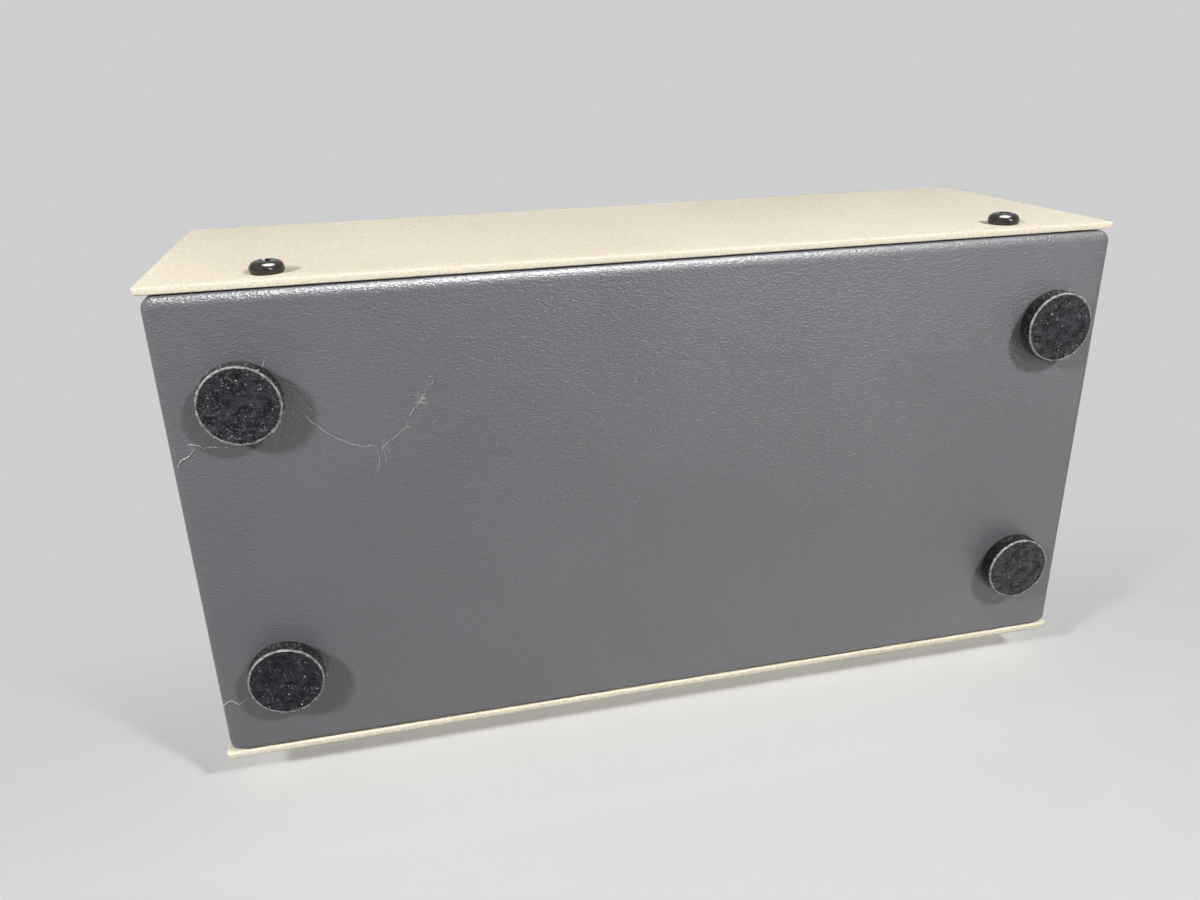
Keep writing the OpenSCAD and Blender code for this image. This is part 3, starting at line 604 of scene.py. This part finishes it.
def gold_plate():
    """Gold flash over turned brass, with faint tool rings."""
    finish = new_finish("gold_plate", "d9b45c", Metallic=1.0)
    mottle(finish, 6 * mm, "cfa548", "e2c270")
    uneven_gloss(finish, 1.5 * mm, 0.16, 0.3)
    inputs = {"Vector": on_piece(finish), "Scale": 1 / (1.2 * mm), "Distortion": 0.4}
    rings = add_node(finish, "TexWave", inputs, bands_direction="Y").outputs["Fac"]
    raise_grain(finish, rings, 0.003 * mm)
    return finish


def moulded(name, dark, bright):
    """Glossy moulded plastic with slight flow marks."""
    finish = new_finish(name, dark, Specular_IOR_Level=0.5)
    mottle(finish, 5 * mm, dark, bright)
    uneven_gloss(finish, 2 * mm, 0.24, 0.36)
    raise_grain(finish, speckle(finish, 0.6 * mm), 0.006 * mm)
    return finish


gold = gold_plate()
white_moulding = moulded("white_moulding", "e6e4dc", "f1f0ea")
red_moulding = moulded("red_moulding", "a61b1b", "bb2723")
for jack in jack_names:
    paint_node(gold, jack + "_shells", jack + "_contacts")
    paint_node(white_moulding, jack + "_cores")
paint_node(white_moulding, "left_jack_rings", "jack_washers")
paint_node(red_moulding, "right_jack_rings")
paint_node(gold, "jack_nuts")

# Wiring
# Tinned copper wires join the ground lugs of each row. Insulated wires, white for the left channel and red
# for the right, run from the jacks' tails to the clips of the switch.


def insulation(name, dark, bright):
    """Soft wire insulation with a dull skin."""
    finish = new_finish(name, dark, Roughness=0.55)
    mottle(finish, 3 * mm, dark, bright)
    raise_grain(finish, speckle(finish, 0.4 * mm), 0.01 * mm)
    return finish


def tinned_copper():
    """Dull tin over drawn copper wire."""
    finish = new_finish("tinned_copper", "cdcdc8", Metallic=1.0)
    mottle(finish, 2 * mm, "c0c0bb", "d8d8d4")
    uneven_gloss(finish, 0.8 * mm, 0.3, 0.45)
    return finish


paint_node(tinned_copper(), "ground_wires")
paint_node(insulation("white_insulation", "dedcd4", "ecebe4"), "left_wires")
paint_node(insulation("red_insulation", "98201f", "ac2a27"), "right_wires")

# Cover
# One steel sheet folded to a front flange, a top and a rear flange, punched for the switch, the jacks and its
# screws. The ivory paint is thick, finely textured and draws back to a soft round on every edge.
cover_low, cover_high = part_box("cover")
cover_sheet = 1.5 * mm
cover_fold = 2.5 * mm
flange_corner = 1.0 * mm
paint_round = 0.24 * mm
rear_drop = 0.9 * mm
fold_steps = 8
corner_steps = 4
paint_steps = 3
screw_hole = 2.25 * mm
jack_hole = 4.86 * mm
bushing_hole = 4.75 * mm
peg_hole = 1.5 * mm
peg_offset = Vector((0, -11 * mm, 0))
drill_reach = 8 * mm
drill_turns = 48
selector_axis = Vector(frame["joints"][0]["pos_m"])
screw_low, screw_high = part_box("cover_screws")
screw_head_radius = 3.5 * mm
screw_spots = [
    Vector((x, y, (screw_low.z + screw_high.z) / 2))
    for x in (screw_low.x + screw_head_radius, screw_high.x - screw_head_radius)
    for y in (cover_low.y, cover_high.y)
]
jack_spots = [Vector(m["pos_m"]) for m in frame["record"]["mounts"] if m["name"].endswith("_jack")]


def ivory_paint():
    """Warm ivory paint with a fine, even texture."""
    finish = new_finish("ivory_paint", "e6dcc8", Specular_IOR_Level=0.15)
    fine = speckle(finish, 0.36 * mm, 3.0)
    sand = speckle(finish, 0.6 * mm, 2.0)
    tone = sum_of(finish, sum_of(finish, sand, fine, 0.7), speckle(finish, 40 * mm), 0.35)
    into_shader(finish, two_tone(finish, between(finish, tone, 0.77, 1.27), "dbd0ba", "f4ebd9"), "Base Color")
    uneven_gloss(finish, 9 * mm, 0.6, 0.72)
    raise_grain(finish, sum_of(finish, sand, fine, 0.4), 0.02 * mm)
    return finish


def fold_profile(inset, fold):
    """Points of the folded sheet seen from the end, up the front, over the top and down the rear."""
    front = cover_low.y + inset
    rear = cover_high.y - inset
    top = cover_high.z - inset
    points = [(front, cover_low.z)]
    for i in range(fold_steps + 1):
        turn = math.radians(90 * i / fold_steps)
        points.append((front + fold * (1 - math.cos(turn)), top - fold * (1 - math.sin(turn))))
    for i in range(fold_steps + 1):
        turn = math.radians(90 * i / fold_steps)
        points.append((rear - fold * (1 - math.sin(turn)), top - fold * (1 - math.cos(turn))))
    points.append((rear, cover_low.z - rear_drop))
    return points


def folded_cover():
    """The bent sheet with rounded flange corners and painted edges."""
    sheet = bmesh.new()
    outline = fold_profile(0, cover_fold) + fold_profile(cover_sheet, cover_fold - cover_sheet)[::-1]
    end = sheet.faces.new([sheet.verts.new((cover_low.x, y, z)) for y, z in outline])
    run = bmesh.ops.extrude_face_region(sheet, geom=[end])
    moved = [g for g in run["geom"] if isinstance(g, bmesh.types.BMVert)]
    bmesh.ops.translate(sheet, verts=moved, vec=(cover_high.x - cover_low.x, 0, 0))
    bmesh.ops.recalc_face_normals(sheet, faces=sheet.faces)
    on_floor = [e for e in sheet.edges if all(v.co.z < cover_low.z + 1e-7 for v in e.verts)]
    feet = [e for e in on_floor if abs(e.verts[0].co.x - e.verts[1].co.x) < 1e-7]
    round_edges(sheet, feet, flange_corner, corner_steps)
    sharp = [e for e in sheet.edges if len(e.link_faces) == 2 and e.calc_face_angle() > math.radians(45)]
    round_edges(sheet, sharp, paint_round, paint_steps)
    return sheet


def add_drill(shape, centre, along, radius):
    """Adds a closed round cutter through a centre point."""
    place = Matrix.Translation(centre) @ along.to_track_quat("Z", "Y").to_matrix().to_4x4()
    bmesh.ops.create_cone(
        shape,
        cap_ends=True,
        segments=drill_turns,
        radius1=radius,
        radius2=radius,
        depth=drill_reach,
        matrix=place,
    )


cover = new_object("cover_sheet", as_mesh(folded_cover(), "cover_sheet"))
drills = bmesh.new()
for spot in screw_spots:
    add_drill(drills, spot, Vector((0, 1, 0)), screw_hole)
for spot in jack_spots:
    add_drill(drills, Vector((spot.x, cover_high.y, spot.z)), Vector((0, 1, 0)), jack_hole)
add_drill(drills, selector_axis, Vector((0, 0, 1)), bushing_hole)
add_drill(drills, selector_axis + peg_offset, Vector((0, 0, 1)), peg_hole)
cut_out(cover, drills)
shade_round(cover.data)
dress(cover, ivory_paint(), "cover_paint", "casing", "cover")

# Cover screws
# Four M4 pan-head screws with a cross recess, two through each flange into the clinch nuts. They are steel
# with a glossy black finish.
screw_head_height = 2.6 * mm
screw_underside = 0.93
screw_rim = 0.45 * mm
screw_shoulder = 1.7 * mm
shoulder_steps = 9
dome_drop = 0.12 * mm
dome_middle = 0.6 * mm
screw_thread = 2.0 * mm
screw_length = 8 * mm
recess_span = 3.6 * mm
recess_arm = 0.95 * mm
recess_depth = 1.5 * mm
recess_foot = (screw_head_height - recess_depth, 0.35, 0.6)
recess_mouth = (screw_head_height * 1.1, 1.08, 1.05)
screw_turns = 64
screw_first_turn = 25
screw_turn_step = 40


def black_finish():
    """Glossy black plating over steel."""
    finish = new_finish("black_screw", "484644", Metallic=0.85)
    mottle(finish, 1.5 * mm, "3f3d3b", "504d4a")
    uneven_gloss(finish, 0.8 * mm, 0.15, 0.22)
    raise_grain(finish, speckle(finish, 0.4 * mm), 0.004 * mm)
    return finish


def turned(shape, outline, turns, place):
    """Adds a closed turned body; the outline gives radius and height from its lower to its upper middle."""
    rows = []
    for radius, height in outline:
        angles = [math.tau * k / turns for k in range(turns)]
        spots = [Vector((radius * math.cos(a), radius * math.sin(a), height)) for a in angles]
        rows.append([shape.verts.new(place @ spot) for spot in spots])
    join_rows(shape, rows)
    shape.faces.new(rows[0][::-1])
    shape.faces.new(rows[-1])


def screw_outline():
    """Shank, flat underside, bulged shoulder and domed top of one screw."""
    flat = screw_head_radius - screw_shoulder
    points = [(screw_thread, -screw_length), (screw_thread, 0), (screw_head_radius * screw_underside, 0)]
    points.append((screw_head_radius, screw_rim))
    for i in range(shoulder_steps + 1):
        turn = math.radians(90 * i / shoulder_steps)
        drop = dome_drop * math.sin(turn)
        height = screw_head_height - drop - screw_shoulder * (1 - math.sin(turn))
        points.append((flat + screw_shoulder * math.cos(turn), height))
    points.append((dome_middle, screw_head_height))
    return points


def add_recess(shape, place):
    """Adds the tapered cutter for one arm of the cross, from its foot to its mouth."""
    corners = []
    for height, span, width in (recess_foot, recess_mouth):
        x = recess_span / 2 * span
        y = recess_arm / 2 * width
        spots = [Vector((sx * x, sy * y, height)) for sx, sy in ((-1, -1), (1, -1), (1, 1), (-1, 1))]
        corners.append([shape.verts.new(place @ spot) for spot in spots])
    join_rows(shape, corners)
    shape.faces.new(corners[0][::-1])
    shape.faces.new(corners[1])


screws = bmesh.new()
recess_arms = [bmesh.new(), bmesh.new()]
for index, spot in enumerate(screw_spots):
    outward = Vector((0, 1 if spot.y > 0 else -1, 0))
    place = Matrix.Translation(spot) @ outward.to_track_quat("Z", "Y").to_matrix().to_4x4()
    place = place @ Matrix.Rotation(math.radians(screw_first_turn + screw_turn_step * index), 4, "Z")
    turned(screws, screw_outline(), screw_turns, place)
    add_recess(recess_arms[0], place)
    add_recess(recess_arms[1], place @ Matrix.Rotation(math.radians(90), 4, "Z"))
screw_set = new_object("pan_head_screws", as_mesh(screws, "pan_head_screws"))
for arm in recess_arms:
    cut_out(screw_set, arm)
shade_round(screw_set.data, crease=38)
black_screw = black_finish()
dress(screw_set, black_screw, "black_steel", "casing", "cover_screws")

# Knob
# A fluted black moulding on a brass bush, held to the shaft by a grub screw. A spun aluminium cap is let into
# its top, and a white line points at the chosen input.


def knob_moulding():
    """Satin black plastic, a touch greyer in soft patches."""
    finish = new_finish("knob_moulding", "232326", Specular_IOR_Level=0.45)
    mottle(finish, 7 * mm, "1f1f22", "29292c")
    uneven_gloss(finish, 3 * mm, 0.38, 0.52)
    raise_grain(finish, speckle(finish, 0.25 * mm, 3.0), 0.012 * mm)
    return finish


def spun_aluminium():
    """Aluminium face with fine rings about the knob's axis."""
    finish = new_finish("spun_aluminium", "c9cbcd", Metallic=1.0, Anisotropic=0.6)
    inputs = {0: on_piece(finish), 1: (selector_axis.x, selector_axis.y, 0)}
    middle = add_node(finish, "VectorMath", inputs, operation="SUBTRACT")
    across = add_node(finish, "CombineXYZ", {"X": off_axis(finish, middle.outputs["Vector"])})
    inputs = {"Vector": across.outputs["Vector"], "Scale": 1 / (0.12 * mm), "Detail": 3.0}
    rings = add_node(finish, "TexNoise", inputs).outputs["Fac"]
    share = between(finish, rings, *noise_span)
    into_shader(finish, two_tone(finish, share, "bcbec1", "d6d8da"), "Base Color")
    into_shader(finish, between(finish, rings, *noise_span, 0.22, 0.36), "Roughness")
    raise_grain(finish, rings, 0.01 * mm)
    tangent = add_node(finish, "Tangent", direction_type="RADIAL", axis="Z")
    into_shader(finish, tangent.outputs["Tangent"], "Tangent")
    return finish


def white_fill():
    """White paint rubbed into the pointer's groove."""
    finish = new_finish("white_fill", "efece3", Roughness=0.55)
    mottle(finish, 0.8 * mm, "e4e0d5", "f5f3ec")
    raise_grain(finish, speckle(finish, 0.3 * mm), 0.02 * mm)
    return finish


paint_node(knob_moulding(), "knob_body")
paint_node(spun_aluminium(), "knob_cap")
paint_node(white_fill(), "knob_pointer")
paint_node(brass, "knob_bush")
paint_node(black_screw, "knob_grub_screw")

# Numerals
# Plain figures screen printed in dark ink on the ivory paint, one at each stop of the knob and one above each
# pair of inputs. The film of ink stands only a few hundredths of a millimetre proud.
stop_angles = (135, 105, 75, 45)
dial_radius = 26.5 * mm
dial_height = 5.2 * mm
tick_from = 20.8 * mm
tick_to = 22.6 * mm
tick_width = 0.7 * mm
rear_height = 4.6 * mm
rear_rise = 10.4 * mm
ink_depth = 0.03 * mm
font_share = 1.4


def ink_finish():
    """Dark screen-print ink, slightly open over the paint's texture."""
    finish = new_finish("screen_ink", "2b2a29", Roughness=0.6)
    share = between(finish, speckle(finish, 0.3 * mm), 0.35, 0.7)
    into_shader(finish, two_tone(finish, share, "242322", "413f3c"), "Base Color")
    raise_grain(finish, speckle(finish, 0.3 * mm), 0.02 * mm)
    return finish


def add_numeral(shape, figure, height, place):
    """Adds one printed figure, centred on its place and facing its local +Z."""
    letters = bpy.data.curves.new("figure", "FONT")
    letters.body = figure
    letters.align_x = "CENTER"
    letters.align_y = "CENTER"
    letters.size = height * font_share
    letters.extrude = ink_depth
    printed = new_object("figure", letters)
    bpy.context.view_layer.update()
    mesh = bpy.data.meshes.new_from_object(printed.evaluated_get(bpy.context.evaluated_depsgraph_get()))
    mesh.transform(place)
    shape.from_mesh(mesh)
    bpy.data.objects.remove(printed)


ink = ink_finish()
dial = bmesh.new()
on_top = Vector((selector_axis.x, selector_axis.y, cover_high.z))
for figure, angle in enumerate(stop_angles, start=1):
    turn = math.radians(angle)
    outward = Vector((math.cos(turn), math.sin(turn), 0))
    add_numeral(dial, str(figure), dial_height, Matrix.Translation(on_top + dial_radius * outward))
    tick = block_between((tick_from, -tick_width / 2, -ink_depth), (tick_to, tick_width / 2, ink_depth))
    tick.transform(Matrix.Translation(on_top) @ Matrix.Rotation(turn, 4, "Z"))
    dial.from_mesh(as_mesh(tick, "tick"))
dial_print = new_object("dial_numerals", as_mesh(dial, "dial_numerals"))
dress(dial_print, ink, "cover_paint", "casing")

rear_faces = Matrix(((-1, 0, 0), (0, 0, 1), (0, 1, 0))).to_4x4()
rear = bmesh.new()
upper_row = max(spot.z for spot in jack_spots)
input_places = sorted(spot.x for spot in jack_spots if spot.z == upper_row)[:4]
for figure, x in enumerate(input_places, start=1):
    spot = Vector((x, cover_high.y, upper_row + rear_rise))
    add_numeral(rear, str(figure), rear_height, Matrix.Translation(spot) @ rear_faces)
rear_print = new_object("rear_numerals", as_mesh(rear, "rear_numerals"))
dress(rear_print, ink, "cover_paint", "casing")

# Stray fibres
# A few hairs of lint that cling to the grain of the tray beside the feet. A row gives a hair's radius and the
# points that it follows on the underside, and a tuft its place and its count of fibres, all in millimetres.
fibre_rows = (
    (0.055, (-79, -27), (-75, -22.5), (-70, -19.5), (-65.5, -18.7)),
    (0.05, (-66, -12.9), (-65.2, -16), (-65.5, -18.7)),
    (0.05, (-63.9, -15.3), (-64.2, -17), (-63.4, -19.3)),
    (0.055, (-63.4, -19.3), (-61, -21), (-59.1, -22.5)),
    (0.05, (-58.2, -24.9), (-57, -26.5), (-55.7, -27.5), (-53.4, -31.7)),
    (0.08, (-102.2, -23.4), (-99.5, -22.4), (-96, -21.9), (-91, -22.3)),
    (0.1, (-105, -18.6), (-104, -20), (-102.6, -20.6), (-101.4, -22), (-101.6, -22.6)),
    (0.08, (-86, -36.2), (-85.6, -38), (-85, -39.8)),
    (0.09, (-106, 39.8), (-104, 38.6), (-102.4, 39.8), (-100, 38.5)),
)
fibre_step = 0.8 * mm
fibre_wander = 0.16 * mm
tuft_spots = (
    (-55.4, -28.2, 12),
    (-59.2, -22.4, 4),
    (-64, -18.5, 6),
    (-52.8, -32, 6),
    (-53.1, -22.7, 1),
    (-54.9, -40.9, 1),
)
tuft_radius = 0.05 * mm
tuft_lengths = (0.8 * mm, 2.2 * mm)


def crooked(draw, corners):
    """Row of close points through the corners, a little out of line as lint lies."""
    points = [corners[0]]
    for start, end in zip(corners, corners[1:]):
        count = max(2, round((end - start).length / fibre_step))
        for i in range(1, count + 1):
            spot = start.lerp(end, i / count)
            points.append(spot + Vector((draw.uniform(-1, 1), draw.uniform(-1, 1), 0)) * fibre_wander)
    return points


fibres = bmesh.new()
draw = random.Random(9)
for thickness, *row in fibre_rows:
    radius = thickness * mm
    corners = [Vector((x * mm, y * mm, tray_low.z - radius)) for x, y in row]
    add_strand(fibres, crooked(draw, corners), radius)
for x, y, count in tuft_spots:
    for _ in range(count):
        start = Vector((x + draw.uniform(-1, 1), y + draw.uniform(-1, 1), 0)) * mm
        points = curl(draw, start, flat_heading(draw), draw.uniform(*tuft_lengths), 0.7, 5)
        add_strand(fibres, laid(points, tray_low.z - tuft_radius), tuft_radius)
hairs = new_object("stray_fibres", as_mesh(fibres, "stray_fibres"))
dress(hairs, lint, "chassis_paint", "casing")

# Table and floor
# Two pale sheets that show from one side only: the table that the box stands on in the photograph, on its
# jacks, and the floor under its feet. Both fade out into the pale surroundings.
sheet_reach = 1.6
sheet_colour = (0.62, 0.62, 0.615, 1)
rise_fade = 0.1


def pale_sheet(name, fade_from, fade_to, rise_limit):
    """Pale one-sided stage finish that fades with distance, and above rise_limit along +Z."""
    finish = bpy.data.materials.new(name)
    finish.use_nodes = True
    shader = finish.node_tree.nodes["Principled BSDF"]
    shader.inputs["Base Color"].default_value = sheet_colour
    shader.inputs["Roughness"].default_value = 0.9
    shader.inputs["Specular IOR Level"].default_value = 0.0
    place = add_node(finish, "NewGeometry")
    away = add_node(finish, "VectorMath", {0: place.outputs["Position"]}, operation="LENGTH").outputs["Value"]
    height = add_node(finish, "SeparateXYZ", {0: place.outputs["Position"]}).outputs["Z"]
    shown = between(finish, away, fade_from, fade_to, 1.0, 0.0)
    shown = product(finish, shown, between(finish, height, rise_limit, rise_limit + rise_fade, 1.0, 0.0))
    shown = product(finish, shown, between(finish, place.outputs["Backfacing"], 0, 1, 1.0, 0.0))
    into_shader(finish, shown, "Alpha")
    return finish


def stage_sheet(name, centre, facing, finish):
    """Flat stage sheet that neither blocks light nor shows in reflections."""
    shape = bmesh.new()
    bmesh.ops.create_grid(shape, x_segments=1, y_segments=1, size=sheet_reach)
    mesh = bpy.data.meshes.new(name)
    shape.to_mesh(mesh)
    shape.free()
    sheet = new_object(name, mesh)
    sheet.matrix_world = Matrix.Translation(centre) @ facing.to_track_quat("Z", "Y").to_matrix().to_4x4()
    sheet.data.materials.append(finish)
    sheet.visible_shadow = False
    sheet.visible_diffuse = False
    sheet.visible_glossy = False
    sheet.visible_transmission = False


pale_table = pale_sheet("pale_table", fade_from=0.12, fade_to=0.27, rise_limit=-0.02)
pale_floor = pale_sheet("pale_floor", fade_from=0.3, fade_to=0.9, rise_limit=1.0)
stage_sheet("table", Vector((0, cad_box[1].y, 0)), Vector((0, -1, 0)), pale_table)
stage_sheet("floor", Vector((0, 0, 0)), Vector((0, 0, 1)), pale_floor)

# Studio light
# Two lamps stand in front of the underside, to its left and right, as the shadows of the feet show, and two
# light the top and the rear. The strips, glints and sheen show only in gloss. A row gives a lamp's direction
# from the box, distance, level of light on the box, width, height and what it shows in.
surround_level = 0.035
backdrop_level = 0.62
lamps = (
    ("left_lamp", (-0.745, -0.48, -0.46), 0.9, 0.84, 0.1, 0.1, "matt"),
    ("left_glint", (-0.745, -0.48, -0.46), 0.9, 0.08, 0.1, 0.1, "gloss"),
    ("right_lamp", (0.45, -0.63, -0.63), 0.85, 0.84, 0.085, 0.085, "matt"),
    ("right_glint", (0.45, -0.63, -0.63), 0.85, 0.07, 0.085, 0.085, "gloss"),
    ("grain_strip", (0.36, -0.4, -0.84), 1.0, 0.3, 0.5, 0.06, "gloss"),
    ("front_strip", (0.1, -0.99, -0.1), 1.0, 3.4, 0.9, 0.72, "gloss"),
    ("low_sheen", (0.4, 0.8, -0.45), 0.9, 0.25, 1.2, 0.8, "gloss"),
    ("top_lamp", (0.1, 0.12, 0.99), 1.1, 0.5, 0.6, 0.7, "matt"),
    ("top_glint", (0.1, 0.12, 0.99), 1.1, 0.08, 0.6, 0.7, "gloss"),
    ("rear_lamp", (0.4, 0.72, 0.57), 1.1, 0.92, 0.6, 0.6, "all"),
)
box_middle = Vector((0, 0, (cover_low.z + cover_high.z) / 2))
for name, direction, distance, level, width, height, shows_in in lamps:
    towards = Vector(direction).normalized()
    light = bpy.data.lights.new(name, "AREA")
    light.shape = "ELLIPSE"
    light.size = width
    light.size_y = height
    light.energy = level * (math.pi * distance) ** 2
    lamp = new_object(name, light)
    lamp.location = box_middle + towards * distance
    lamp.visible_diffuse = shows_in != "gloss"
    lamp.visible_glossy = shows_in != "matt"
    lamp.rotation_euler = towards.to_track_quat("Z", "Y").to_euler()

surround = bpy.data.worlds.new("surround")
surround.use_nodes = True
bpy.context.scene.world = surround
sky = surround.node_tree.nodes["Background"]
sky.inputs["Color"].default_value = (1, 1, 1, 1)
path = add_node(surround, "LightPath")
shows = path.outputs["Is Camera Ray"]
for ray in ("Is Glossy Ray", "Is Transmission Ray"):
    shows = add_node(surround, "Math", {0: shows, 1: path.outputs[ray]}, operation="MAXIMUM").outputs["Value"]
level = between(surround, shows, 0, 1, surround_level, backdrop_level)
surround.node_tree.links.new(level, sky.inputs["Strength"])

# Camera
# It stands below the front edge and looks up at the underside, a little from the left. Its place, axes and
# lens were solved from the corners of the box in the photograph.
camera_place = Vector((-60.03, -92.96, -189.04)) * mm
image_right = Vector((0.97414, 0.02379, -0.22469))
look_along = Vector((0.19934, 0.37769, 0.90422))
lens_view = bpy.data.cameras.new("camera")
lens_view.sensor_width = 36
lens_view.lens = 28.7
lens_view.clip_start = 0.01
camera = new_object("camera", lens_view)
image_up = image_right.cross(look_along)
axes = Matrix((image_right, image_up, -look_along)).transposed().to_4x4()
camera.matrix_world = Matrix.Translation(camera_place) @ axes
bpy.context.scene.camera = camera
bpy.context.scene.view_settings.view_transform = "Standard"
